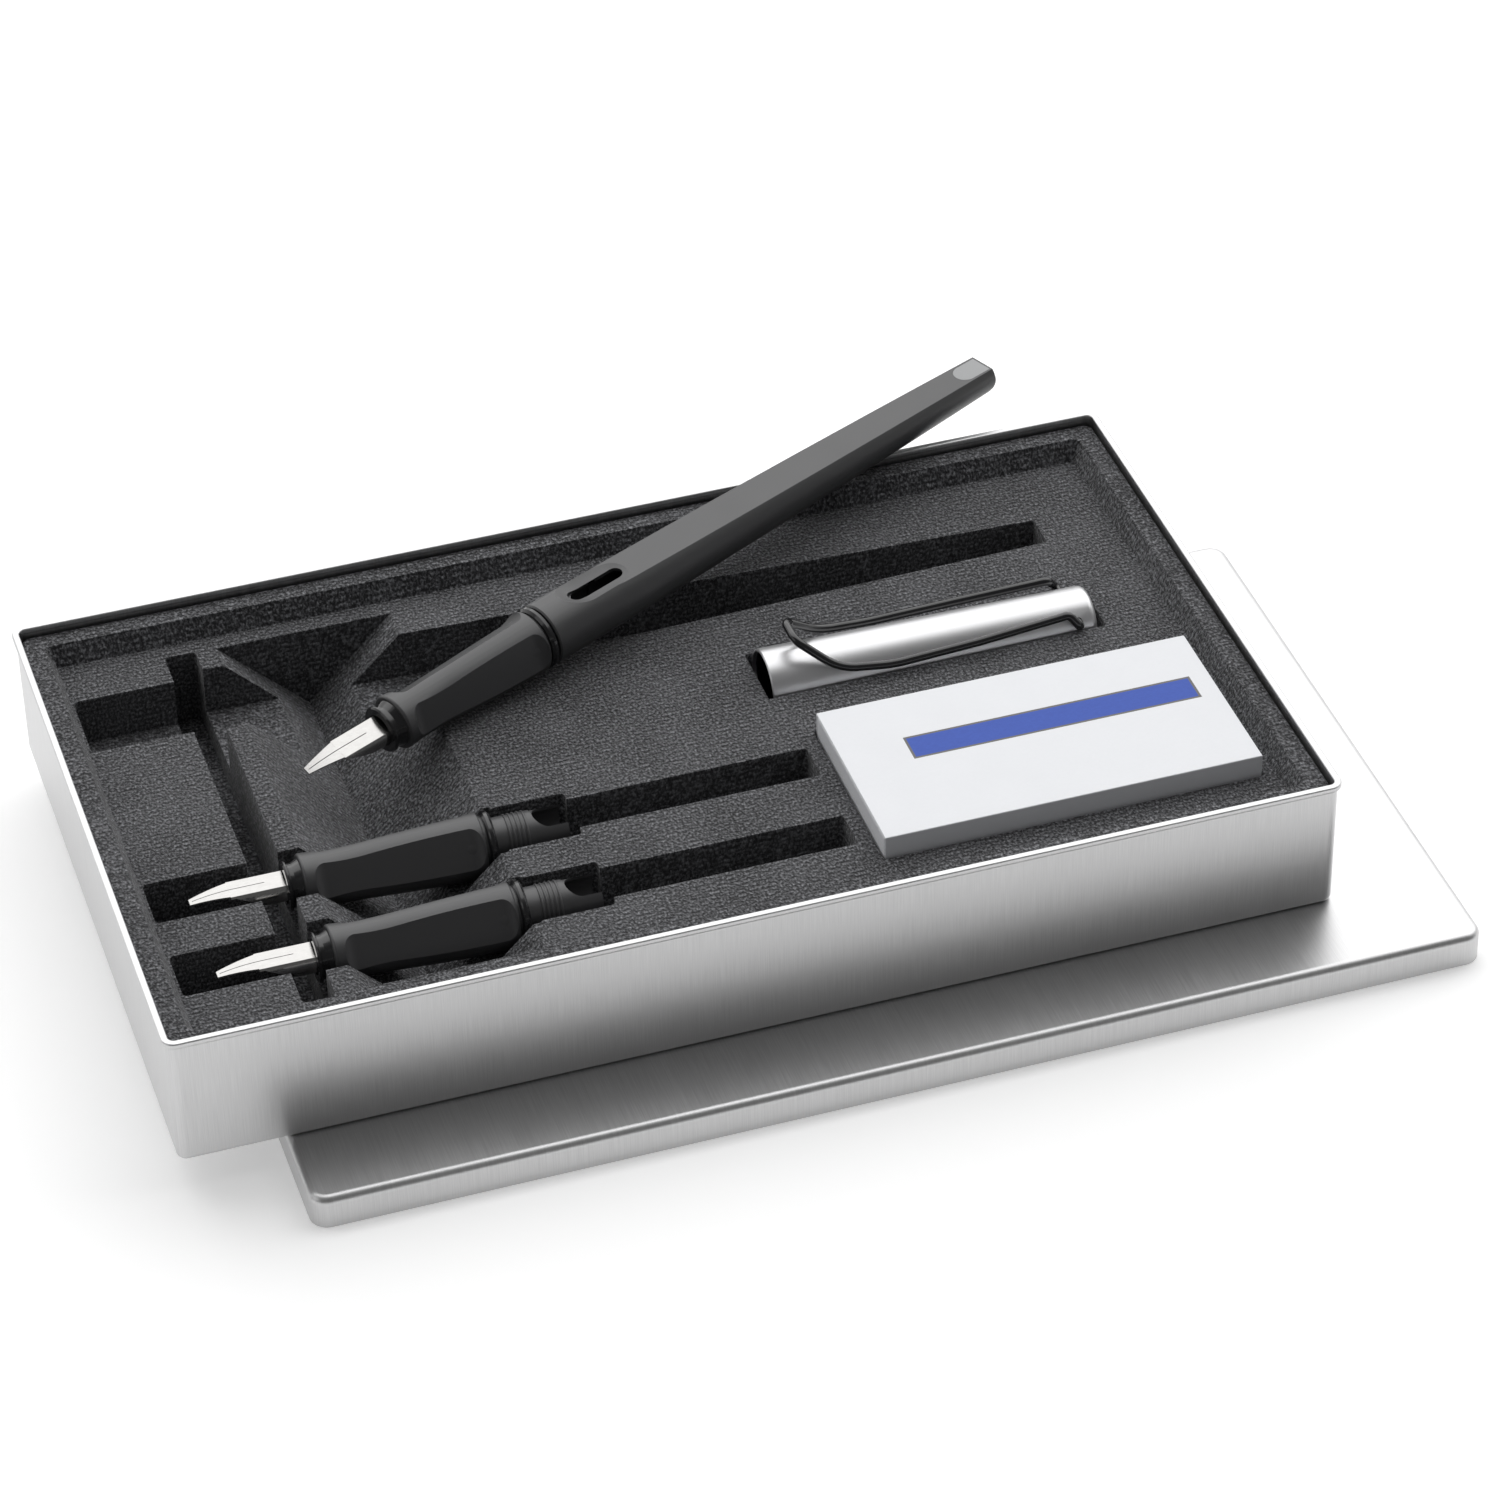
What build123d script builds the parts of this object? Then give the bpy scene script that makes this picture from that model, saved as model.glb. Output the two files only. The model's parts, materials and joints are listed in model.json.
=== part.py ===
from build123d import *
import math
import os

# A flat metal gift tin with a flocked insert that holds a calligraphy pen, its cap, two spare
# front sections and a carton of ink cartridges. The tin stands on its own lid.
# Millimetres. The parts are built about the centre of the tin, with z = 0 under the tin, and are
# moved at the end so that the origin is the middle of the set's footprint, on the table.

# ---- tin and lid
TIN_L = 225.0            # over the rolled rim
TIN_W = 130.5
TIN_H = 28.2
TIN_CORNER_R = 2.6
TIN_FOOT_R = 1.1         # pressed radius round the bottom
SHEET = 0.4              # sheet metal
RIM_R = 0.7              # rolled rim
RIM_PROUD = 0.7          # rim beyond the wall
RIM_TOP_R = 0.35         # the roll is pressed flat on top
RIM_FOOT_R = 0.6
LID_H = 6.7
LID_EDGE_R = 1.5
LID_HEM_H = 2.4          # edge of the lid's wall folded in
LID_FIT = 0.15           # lid's hem to the tin's rim, each side
LID_SHIFT_X = 21.5       # where the lid lies under the tin
LID_SHIFT_Y = -16.5

# ---- flocked insert
TRAY_WALL = 1.2
TRAY_GAP = 0.3           # to the rim it drops in through
TRAY_FOOT = 0.5          # bevel round the foot of the skirt
RIM_REVEAL = 2.2         # tin rim above the insert's flange
DECK_DROP = 4.2          # flange down to the deck
FLANGE_W = 3.8
STEP_SLOPE = 24.0        # degrees, wall between flange and deck
RECESS_R = 0.9           # plan corners of the recesses
CROSS_X0, CROSS_X1 = -84.8, -78.6      # finger channel across the insert
CROSS_HALF = 54.3
CROSS_FLOOR = 5.5
TROUGH_X0, TROUGH_X1 = -74.5, -39.5    # V-shaped trough, 45 degree sides
TROUGH_HALF = 53.9
WELL_X0 = -104.7         # closed ends of the nib wells
WELL_FLOOR = 11.5

# ---- pen section: x from the front of the grip, towards the barrel
GRIP_L = 34.6
LIP_R = 5.6
LIP_EDGE_R = 0.6
WAIST_X, WAIST_R = 7.0, 5.28
SWELL_X, SWELL_R = 12.5, 5.45          # where the waist turns into the swelling
GRIP_R = 6.35            # at the ring; the barrel is the same
FLAT_ANGLE = 57.0        # finger flats, degrees either side of the top
FLAT_X0, FLAT_X1 = 4.6, 31.8           # level part of a flat
FLAT_FRONT, FLAT_REAR = 4.2, 4.95      # distance of a flat from the axis, at its two ends
FLAT_RUNOUT_R = 3.0
EDGE = 0.3               # broken edges beside the ring
RING_GROOVE = 0.6        # open neck between grip and ring
RING_W = 1.6
RING_ROUND = 0.5         # bevel of the ring's edges
RING_WALL = 0.95         # ring's thickness outside the neck
RING_FIT = 0.05          # ring to the neck
RING_TO_BARREL = 0.15
THREAD_R = 4.5           # bottom of the thread
THREAD_CREST_R = 4.75
THREAD_X1 = 44.6
GUARD_R = 4.3
GUARD_X = 51.0           # rear end of the cartridge guard
GUARD_SLOT_W = 5.7
GUARD_SLOT_L = 6.2       # with its round end
COLLAR_L = 3.0
COLLAR_R = 4.8
COLLAR_GROOVE_R = 4.2
COLLAR_FLANGE_W = 0.6
COLLAR_SEAT_L = 0.8      # the nib passes this far short of the collar's rear
NIB_L = 18.0             # outside the collar
NIB_TIP_W = 1.6
NIB_R = 3.1
NIB_TOP = 2.1            # flat top above the axis
NIB_WING_DROP = 1.0      # the wings reach this far below the axis
NIB_SHEET = 0.35
NIB_BLADE_L = 8.4
NIB_DROP = 1.0           # the blade curves down this much to the tip
NIB_SLIT = 0.15
NIB_WING_L = 6.5         # the wings end this far behind the blade's root
FEED_FRONT = 1.0         # the feed starts this far behind the blade's root
FEED_SLOPE_L = 6.5
FEED_TIP_T = 0.7
FEED_GAP = 0.1
FEED_BORE_R = 2.6
FEED_SLOTS, FEED_SLOT_PITCH, FEED_SLOT_W, FEED_SLOT_DEPTH = 4, 1.1, 0.5, 0.8

# ---- ink cartridge
INK_NECK_R, INK_NECK_L = 2.9, 6.0
INK_BODY_R, INK_BODY_L = 3.7, 41.0
INK_TAIL_R, INK_TAIL_L = 2.5, 25.0
INK_MOUTH_R, INK_MOUTH_DEPTH = 1.3, 3.0
INK_GAP = 0.15           # cartridge to the bores that hold it
SPOUT_R, SPOUT_L = 0.9, 2.2            # piercing spout behind the feed's stem

# ---- barrel
BARREL_L = 118.6
BARREL_TAIL_R = 3.85
BARREL_BULGE = 0.33      # half way along, over a straight taper
THREAD_GAP = 0.1
BORE_END_GAP = 1.5       # barrel's bores past what goes into them
TAIL_ROUND_R = 4.4       # rounding under the tail
FACET_START = 5.1        # height of the top flat above the axis, carried on to the front
FACET_FALL = 0.0215      # fall per millimetre
FACET_X0 = 20.0          # in front of this the flat runs out in an arc
FACET_RUNOUT_R = 40.0
DISH_X0, DISH_X1 = 11.6, 18.6          # middles of the dish's round ends
DISH_R = 11.0
DISH_FLOOR = 4.15        # above the axis
WINDOW_X, WINDOW_W, WINDOW_L = 14.3, 3.2, 13.2
INLAY_L, INLAY_W, INLAY_T = 7.0, 4.9, 0.5
INLAY_EDGE = 0.35        # barrel left behind the inlay
INLAY_FIT = 0.03

# ---- cap
CAP_L = 67.1
CAP_R, CAP_END_R = 7.1, 6.35
CAP_WALL = 0.45
CAP_END_FILLET = 1.4
LINER_WALL = 0.25
LINER_START = 0.8
LINER_FIT = 0.05
NOSE_GAP = 0.3           # liner's nose to the clip plug
NOSE_BORE_R = 3.0
FINIAL_R = 4.2
FINIAL_FIT = 0.08
FINIAL_CROWN = 0.3
PLUG_L = 7.2
CLIP_WIRE_R = 0.85
CLIP_HOLE_X = 63.0       # from the mouth
CLIP_HOLE_Z = 3.2        # above the cap's axis
CLIP_HOLE_GAP = 0.1
CLIP_CLEAR = 0.3         # wire to cap at rest
CLIP_LOOP_RISE = 4.5     # middle of the loop's wire above the cap
CLIP_LOOP_HALF = 3.3     # half width of the loop, between its corners
CLIP_LOOP_R = 2.4
CLIP_LOOP_X = 5.6        # from the mouth

# ---- carton
CARTON_L, CARTON_W, CARTON_T = 75.0, 40.0, 10.0
CARD = 0.5
CARTON_PROUD = 4.5       # above the deck
CARTON_GAP = 0.5
TONGUE_L = 12.0
CARTRIDGES = 5
CARD_SLACK = 0.1         # tuck-in ends in the sleeve

# ---- where things lie in the insert
SPARE_Y = (-18.1, -39.7)
SPARE_GRIP_X = -76.2     # front of the grips
SPARE_SINK = 2.7         # axis below the deck
SPARE_GAP = 0.35
STEP_SETBACK = 0.6       # the recess narrows here, each side, behind the ring
SPARE_STEP_GAP = 1.8     # recess longer than the ring and than the guard
SPARE_CHANNEL_END = 24.1
SPARE_CHANNEL_HALF = 4.4
CAP_MOUTH_X = 23.3
CAP_Y = 10.5
CAP_SINK = 2.2
CAP_GAP = 0.35
CAP_END_GAP = 1.2
CARTON_X, CARTON_Y = 64.9, -29.6
PEN_RING_X, PEN_RING_Y = -16.0, 27.9   # the ring of the pen, over the deck
PEN_HEADING = 24.0       # degrees from the length of the tin
PEN_ROLL = 0.0
SECTION_ROLL = 18.0      # front section, past the barrel's flat, as the thread leaves it
PEN_GAP = 0.5            # pen to the edges it lies on
LAY_GAP = 0.3            # round parts to what they lie on

# ---- worked out from the sizes above
OVER = 8.0               # cutters reach this far past the deck
TRAY_L = TIN_L - 4 * RIM_R - 2 * TRAY_GAP
TRAY_W = TIN_W - 4 * RIM_R - 2 * TRAY_GAP
FLANGE_Z = TIN_H - RIM_REVEAL
DECK_Z = FLANGE_Z - DECK_DROP
GRIP_STATIONS = ((0, LIP_R), (WAIST_X, WAIST_R), (SWELL_X, SWELL_R), (GRIP_L, GRIP_R))
NIB_REAR_X = -1.0
RING_X0 = GRIP_L + RING_GROOVE
RING_CORE_R = GRIP_R - RING_WALL
SEAT_R = max(GRIP_R, LIP_R)            # a spare section lies on its thickest part
BARREL_X0 = RING_X0 + RING_W + RING_TO_BARREL
SPARE_Z = DECK_Z - SPARE_SINK
CAP_Z = DECK_Z - CAP_SINK
INK_L = INK_NECK_L + INK_BODY_L + INK_TAIL_L
INK_X0 = BARREL_X0 - INK_NECK_L + 0.3


def rounded_slab(length, width, height, radius):
    return extrude(RectangleRounded(length, width, radius), height)


def between(stations, x):
    """Radius at x, in straight stretches between stations of (x, radius)."""
    for (x0, r0), (x1, r1) in zip(stations, stations[1:]):
        if x <= x1:
            return r0 + (r1 - r0) * (x - x0) / (x1 - x0)
    return stations[-1][1]


def lowest_edges(solid):
    return solid.edges().group_by(Axis.Z)[0]


def highest_edges(solid):
    return solid.edges().group_by(Axis.Z)[-1]


# ------------------------------------------------------------------ tin
def tin_base():
    wall_l, wall_w = TIN_L - 2 * RIM_PROUD, TIN_W - 2 * RIM_PROUD
    corner = TIN_CORNER_R - RIM_PROUD
    shell = rounded_slab(wall_l, wall_w, TIN_H - RIM_R, corner)
    shell = fillet(lowest_edges(shell), TIN_FOOT_R)
    hollow = rounded_slab(wall_l - 2 * SHEET, wall_w - 2 * SHEET, TIN_H, corner - SHEET)
    hollow = fillet(lowest_edges(hollow), TIN_FOOT_R - SHEET)
    rim = rounded_slab(TIN_L, TIN_W, 2 * RIM_R, TIN_CORNER_R)
    rim -= Pos(0, 0, -1) * rounded_slab(TIN_L - 4 * RIM_R, TIN_W - 4 * RIM_R, TIN_H, TIN_CORNER_R - 2 * RIM_R)
    rim = fillet(highest_edges(rim), RIM_TOP_R)
    rim = fillet(lowest_edges(rim), RIM_FOOT_R)
    shell -= Pos(0, 0, SHEET) * hollow
    return shell + Pos(0, 0, TIN_H - 2 * RIM_R) * rim


def tin_lid():
    """Shallow lid, open underneath, with the edge of its wall folded in as a hem."""
    hem = 2 * SHEET
    length, width = TIN_L + 2 * (LID_FIT + hem), TIN_W + 2 * (LID_FIT + hem)
    corner = TIN_CORNER_R + LID_FIT + hem
    lid = rounded_slab(length, width, LID_H, corner)
    lid = fillet(highest_edges(lid), LID_EDGE_R)
    hollow = rounded_slab(length - 2 * SHEET, width - 2 * SHEET, LID_H - SHEET - LID_HEM_H, corner - SHEET)
    hollow = fillet(highest_edges(hollow), LID_EDGE_R - SHEET)
    lid -= Pos(0, 0, LID_HEM_H) * hollow
    lid -= Pos(0, 0, -1) * rounded_slab(length - 2 * hem, width - 2 * hem, LID_H - 2, corner - hem)
    return Pos(LID_SHIFT_X, LID_SHIFT_Y, -LID_H) * lid


# ------------------------------------------------------------------ insert
def pit(outline, floor, grow):
    """A recess of one plan outline: its cavity, or with grow the formed sheet round it."""
    if grow:
        outline = offset(outline, amount=grow, kind=Kind.INTERSECTION)
    return Pos(0, 0, floor - grow) * extrude(outline, DECK_Z + OVER - floor + grow)


def plan_box(x0, x1, y0, y1):
    return Pos((x0 + x1) / 2, (y0 + y1) / 2) * RectangleRounded(x1 - x0, y1 - y0, RECESS_R)


def trough(grow):
    """V-shaped finger trough across the whole set."""
    middle = (TROUGH_X0 + TROUGH_X1) / 2
    depth = (TROUGH_X1 - TROUGH_X0) / 2
    slant = grow * math.sqrt(2)
    left, right, top = TROUGH_X0 - slant, TROUGH_X1 + slant, DECK_Z
    outline = Polyline((left, 0, top), (left, 0, top + OVER), (right, 0, top + OVER), (right, 0, top),
                       (middle, 0, top - depth - slant), close=True)
    return extrude(make_face(outline), amount=TROUGH_HALF + grow, dir=(0, 1, 0), both=True)


def cross_channel(grow):
    return pit(plan_box(CROSS_X0, CROSS_X1, -CROSS_HALF, CROSS_HALF), CROSS_FLOOR, grow)


def main_recess(grow):
    """Place for the capped pen: a well for the cap's end, then a tapered channel for the barrel."""
    well = plan_box(WELL_X0, CROSS_X0 + RECESS_R, 29.6, 46.2)
    channel = make_face(Polyline((CROSS_X1 - RECESS_R, 29.1), (90.5, 33.6), (90.5, 41.4),
                                 (CROSS_X1 - RECESS_R, 48.3), close=True))
    return pit(well, WELL_FLOOR, grow) + pit(channel, WELL_FLOOR, grow)


def spare_recess(y, grow):
    """Well for the nib, seat for the grip, and a narrow channel for whatever is screwed behind."""
    seat_half = SEAT_R + 2 * SPARE_GAP
    well_half = COLLAR_R + 3 * SPARE_GAP
    thread_x0 = SPARE_GRIP_X + RING_X0 + RING_W + SPARE_STEP_GAP
    thread_x1 = SPARE_GRIP_X + GUARD_X + SPARE_STEP_GAP
    well = plan_box(WELL_X0, CROSS_X0 + RECESS_R, y - well_half, y + well_half)
    seat = plan_box(CROSS_X1 - RECESS_R, thread_x0, y - seat_half, y + seat_half)
    step = plan_box(thread_x0 - 2, thread_x1, y - seat_half + STEP_SETBACK, y + seat_half - STEP_SETBACK)
    channel = plan_box(thread_x1 - 2, SPARE_CHANNEL_END, y - SPARE_CHANNEL_HALF, y + SPARE_CHANNEL_HALF)
    seat_floor = SPARE_Z - SEAT_R - LAY_GAP
    return (pit(well, WELL_FLOOR, grow) + pit(seat, seat_floor, grow)
            + pit(step, seat_floor, grow) + pit(channel, seat_floor, grow))


def cap_recess(grow):
    mouth_half, end_half = CAP_R + CAP_GAP, CAP_END_R + CAP_GAP
    x0, x1 = CAP_MOUTH_X - CAP_END_GAP, CAP_MOUTH_X + CAP_L + CAP_END_GAP
    outline = make_face(Polyline((x0, CAP_Y - mouth_half), (x1, CAP_Y - end_half),
                                 (x1, CAP_Y + end_half), (x0, CAP_Y + mouth_half), close=True))
    return pit(outline, CAP_Z - CAP_R - LAY_GAP, grow)


def carton_recess(grow):
    half_l, half_w = CARTON_L / 2 + CARTON_GAP, CARTON_W / 2 + CARTON_GAP
    outline = plan_box(CARTON_X - half_l, CARTON_X + half_l, CARTON_Y - half_w, CARTON_Y + half_w)
    return pit(outline, DECK_Z + CARTON_PROUD - CARTON_T, grow)


def recesses(grow):
    cavity = cross_channel(grow) + trough(grow) + main_recess(grow)
    for y in SPARE_Y:
        cavity += spare_recess(y, grow)
    return cavity + cap_recess(grow) + carton_recess(grow)


def insert_tray():
    """One sheet drawn down into every recess, open underneath, standing on its skirt."""
    corner = TIN_CORNER_R - RIM_R
    block = Pos(0, 0, SHEET) * rounded_slab(TRAY_L, TRAY_W, FLANGE_Z - SHEET, corner)
    block = chamfer(lowest_edges(block), TRAY_FOOT)
    mouth = Pos(0, 0, FLANGE_Z) * RectangleRounded(TRAY_L - 2 * FLANGE_W, TRAY_W - 2 * FLANGE_W, corner)
    block -= extrude(mouth, amount=-DECK_DROP, taper=STEP_SLOPE)
    under_l, under_w = TRAY_L - 2 * TRAY_WALL, TRAY_W - 2 * TRAY_WALL
    under = Pos(0, 0, SHEET) * rounded_slab(under_l, under_w, DECK_Z - TRAY_WALL - SHEET, corner / 2)
    return block - recesses(0) - (under - recesses(TRAY_WALL))


# ------------------------------------------------------------------ pen section
def turned(*points):
    """A turned solid about the X axis, from an outline of (x, r) points."""
    return revolve(make_face(Polyline(*[(x, 0, r) for x, r in points], close=True)), Axis.X)


def grip():
    """Grip with waist and two finger flats, thread neck and slotted cartridge guard, in one moulding."""
    edge = CenterArc((LIP_EDGE_R, LIP_R - LIP_EDGE_R), LIP_EDGE_R, 90, 90)
    waist = ThreePointArc((LIP_EDGE_R, LIP_R), (WAIST_X, WAIST_R), (SWELL_X, SWELL_R))
    swell = TangentArc((SWELL_X, SWELL_R), (GRIP_L - EDGE, GRIP_R), tangent=waist % 1)
    rest = Polyline((GRIP_L - EDGE, GRIP_R), (GRIP_L, GRIP_R - EDGE), (GRIP_L, 0), (0, 0), (0, LIP_R - LIP_EDGE_R))
    body = revolve(Plane.XZ * make_face(edge + waist + swell + rest), Axis.X)
    body -= finger_flat(FLAT_ANGLE) + finger_flat(-FLAT_ANGLE)
    neck_x = BARREL_X0 - THREAD_GAP
    body += turned((0.4 * GRIP_L, 0), (0.4 * GRIP_L, WAIST_R / 2), (GRIP_L, RING_CORE_R), (neck_x, RING_CORE_R),
                   (neck_x, THREAD_R), (THREAD_X1, THREAD_R), (THREAD_X1, GUARD_R), (GUARD_X, GUARD_R), (GUARD_X, 0))
    bore_x = INK_X0 - 0.3
    body -= turned((bore_x, 0), (bore_x, INK_BODY_R + INK_GAP), (GUARD_X + 1, INK_BODY_R + INK_GAP), (GUARD_X + 1, 0))
    body -= turned((-1, 0), (-1, FEED_BORE_R), (bore_x + 1, FEED_BORE_R), (bore_x + 1, 0))
    root_x = GUARD_X - GUARD_SLOT_L + GUARD_SLOT_W / 2
    slot = Pos((root_x + GUARD_X) / 2 + 1, 0) * Rectangle(GUARD_X - root_x + 2, GUARD_SLOT_W)
    slot += Pos(root_x, 0) * Circle(GUARD_SLOT_W / 2)
    return body - extrude(slot, amount=GUARD_R + 1, both=True)


def finger_flat(angle):
    """Cutter for one finger flat: straight along the middle, curving out at both ends."""
    slope = math.degrees(math.atan((FLAT_REAR - FLAT_FRONT) / (FLAT_X1 - FLAT_X0)))
    turn = 60.0
    floor = Line((FLAT_X0, FLAT_FRONT), (FLAT_X1, FLAT_REAR))
    up = Vector(0, FLAT_RUNOUT_R).rotate(Axis.Z, slope)
    front = CenterArc(Vector(FLAT_X0, FLAT_FRONT) + up, FLAT_RUNOUT_R, 270 + slope - turn, turn)
    rear = CenterArc(Vector(FLAT_X1, FLAT_REAR) + up, FLAT_RUNOUT_R, 270 + slope, turn)
    outline = Plane.XZ * make_face(floor + front + rear + Line(front @ 0, rear @ 1))
    return Rot(angle, 0, 0) * extrude(outline, amount=8, both=True)


def nib_collar():
    """Glossy ring with a flange at its front that the cap's liner seals on."""
    groove = COLLAR_L * 0.45
    flange = -COLLAR_L + COLLAR_FLANGE_W
    ring = turned((-COLLAR_L, 0), (-COLLAR_L, COLLAR_R - EDGE), (-COLLAR_L + EDGE, COLLAR_R), (flange, COLLAR_R),
                  (flange + EDGE, COLLAR_GROOVE_R), (-groove, COLLAR_GROOVE_R), (0, COLLAR_R), (0, 0))
    ring -= turned((-COLLAR_L - 1, 0), (-COLLAR_L - 1, NIB_R + FEED_GAP), (-COLLAR_SEAT_L, NIB_R + FEED_GAP),
                   (-COLLAR_SEAT_L, 0))
    return ring - turned((-2, 0), (-2, FEED_BORE_R), (1, FEED_BORE_R), (1, 0))


def seal_ring():
    """Glossy ring on the neck, with rounded edges, that the barrel closes on."""
    x0, x1, bore = RING_X0, RING_X0 + RING_W, RING_CORE_R + RING_FIT
    return turned((x0, bore), (x0, GRIP_R - RING_ROUND), (x0 + RING_ROUND, GRIP_R), (x1 - RING_ROUND, GRIP_R),
                  (x1, GRIP_R - RING_ROUND), (x1, bore))


def nib():
    """Broad-edged steel nib: a folded arch round the feed and a tapered blade with its slit."""
    tip_x = -COLLAR_L - NIB_L
    blade_x = tip_x + NIB_BLADE_L
    rear_x = NIB_REAR_X
    arch = Circle(NIB_R) & Pos(0, (NIB_TOP - NIB_WING_DROP) / 2) * Rectangle(2 * NIB_R, NIB_TOP + NIB_WING_DROP)
    arch -= Circle(NIB_R - NIB_SHEET) & Pos(0, NIB_TOP - NIB_SHEET - 5) * Rectangle(4 * NIB_R, 10)
    upright = Plane(origin=(rear_x, 0, 0), x_dir=(0, -1, 0), z_dir=(-1, 0, 0))
    rear = extrude(upright * arch, amount=rear_x - blade_x + 1.0)
    under, low = NIB_TOP - NIB_SHEET, -NIB_WING_DROP
    wing_cut = make_face(Polyline((blade_x - 2, 0, low - 1), (blade_x + NIB_WING_L, 0, low - 1),
                                  (blade_x + NIB_WING_L, 0, low), (blade_x, 0, under), (blade_x - 2, 0, under),
                                  close=True))
    rear -= extrude(wing_cut, amount=NIB_R + 1, dir=(0, 1, 0), both=True)
    top_half = math.sqrt(NIB_R ** 2 - NIB_TOP ** 2)
    outline = make_face(Polyline((blade_x, -top_half), (blade_x, top_half), (tip_x, NIB_TIP_W / 2),
                                 (tip_x, -NIB_TIP_W / 2), close=True))
    upper = TangentArc((blade_x, NIB_TOP), (tip_x, NIB_TOP - NIB_DROP), tangent=(-1, 0))
    lower = TangentArc((blade_x, under), (tip_x, under - NIB_DROP), tangent=(-1, 0))
    band = make_face(upper + lower + Line(upper @ 0, lower @ 0) + Line(upper @ 1, lower @ 1))
    blade = extrude(outline, amount=NIB_R, both=True) & (Plane.XZ * extrude(band, amount=NIB_R, both=True))
    slit = Pos(blade_x - 1, 0, 0) * Box(2 * NIB_BLADE_L - 3, NIB_SLIT, 4 * NIB_TOP)
    return rear + blade - slit


def feed():
    """Ink feed: half-round under the nib, ribbed below, with a stem and a piercing spout behind."""
    front_x = -COLLAR_L - NIB_L + NIB_BLADE_L + FEED_FRONT
    r = NIB_R - NIB_SHEET - FEED_GAP
    top = NIB_TOP - NIB_SHEET - FEED_GAP
    side = make_face(Polyline((0, 0, -r), (front_x + FEED_SLOPE_L, 0, -r), (front_x, 0, top - FEED_TIP_T),
                              (front_x, 0, top), (0, 0, top), close=True))
    body = extrude(side, amount=r, dir=(0, 1, 0), both=True) & turned((-40, 0), (-40, r), (NIB_REAR_X, r), (NIB_REAR_X, 0))
    for i in range(1, FEED_SLOTS + 1):
        body -= Pos(-COLLAR_L - FEED_SLOT_PITCH * i, 0, -r) * Box(FEED_SLOT_W, 3 * r, 2 * FEED_SLOT_DEPTH)
    stem_x = INK_X0 - 0.5
    shoulder_x = NIB_REAR_X + FEED_GAP
    body += turned((NIB_REAR_X - 1, 0), (NIB_REAR_X - 1, top - FEED_GAP), (shoulder_x, top - FEED_GAP),
                   (shoulder_x, FEED_BORE_R - FEED_GAP), (stem_x, FEED_BORE_R - FEED_GAP), (stem_x, SPOUT_R + 0.2),
                   (INK_X0 + SPOUT_L, SPOUT_R), (INK_X0 + SPOUT_L, 0))
    return body


def section():
    return {"grip": grip(), "collar": nib_collar(), "seal_ring": seal_ring(), "nib": nib(), "feed": feed()}


# ------------------------------------------------------------------ ink cartridge, barrel
def cartridge():
    """Ink cartridge along X, mouth at x = 0."""
    body_x = INK_NECK_L
    tail_x = INK_NECK_L + INK_BODY_L
    solid = turned((0, 0), (0, INK_NECK_R), (body_x - 0.5, INK_NECK_R), (body_x + 0.3, INK_BODY_R),
                   (tail_x - 1.5, INK_BODY_R), (tail_x, INK_TAIL_R), (INK_L - 0.5, INK_TAIL_R), (INK_L, INK_TAIL_R - 0.5),
                   (INK_L, 0))
    return solid - turned((-1, 0), (-1, INK_MOUTH_R), (INK_MOUTH_DEPTH, INK_MOUTH_R), (INK_MOUTH_DEPTH, 0))


def barrel_radius(d):
    """Radius of the round barrel at a distance d behind its front."""
    t = d / BARREL_L
    return GRIP_R + (BARREL_TAIL_R - GRIP_R) * t + 4 * BARREL_BULGE * t * (1 - t)


def facet_plane():
    fall = math.atan(FACET_FALL)
    return Plane(origin=(BARREL_X0, 0, FACET_START), x_dir=(math.cos(fall), 0, -math.sin(fall)),
                 z_dir=(math.sin(fall), 0, math.cos(fall)))


def facet_cutter():
    """What lies above the long top flat and above the arc in which it runs out at the front."""
    arc = CenterArc((FACET_X0, FACET_RUNOUT_R), FACET_RUNOUT_R, 245, 25)
    end_x = BARREL_L + 5
    rest = Polyline((FACET_X0, 0), (end_x, 0), (end_x, GRIP_R), (arc @ 0))
    return facet_plane() * extrude(Plane.XZ * make_face(arc + rest), amount=2 * GRIP_R, both=True)


def dish():
    """Scoop round the ink window, with round ends."""
    scoop = Rot(0, 90, 0) * Cylinder(DISH_R, DISH_X1 - DISH_X0)
    scoop = Pos((DISH_X0 + DISH_X1) / 2, 0, 0) * scoop
    scoop += Pos(DISH_X0, 0, 0) * Sphere(DISH_R) + Pos(DISH_X1, 0, 0) * Sphere(DISH_R)
    return Pos(BARREL_X0, 0, DISH_FLOOR + DISH_R) * scoop


def tail_rounding():
    """What is cut from under the square end of the barrel."""
    x, z = BARREL_X0 + BARREL_L - TAIL_ROUND_R, TAIL_ROUND_R - BARREL_TAIL_R
    corner = Pos(x + TAIL_ROUND_R, 0, z - TAIL_ROUND_R) * Box(2 * TAIL_ROUND_R, 4 * GRIP_R, 2 * TAIL_ROUND_R)
    return corner - Pos(x, 0, z) * Rot(90, 0, 0) * Cylinder(TAIL_ROUND_R, 5 * GRIP_R)


def inlay(grow):
    length, half = INLAY_L + 2 * grow, INLAY_W / 2 + grow
    plate = Pos(half + (length - half) / 2, 0) * Rectangle(length - half, 2 * half) + Pos(half, 0) * Circle(half)
    place = Pos(BARREL_L - INLAY_EDGE - INLAY_L - grow, 0, 0)
    return facet_plane() * (place * extrude(plate, amount=-INLAY_T - grow))


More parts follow.
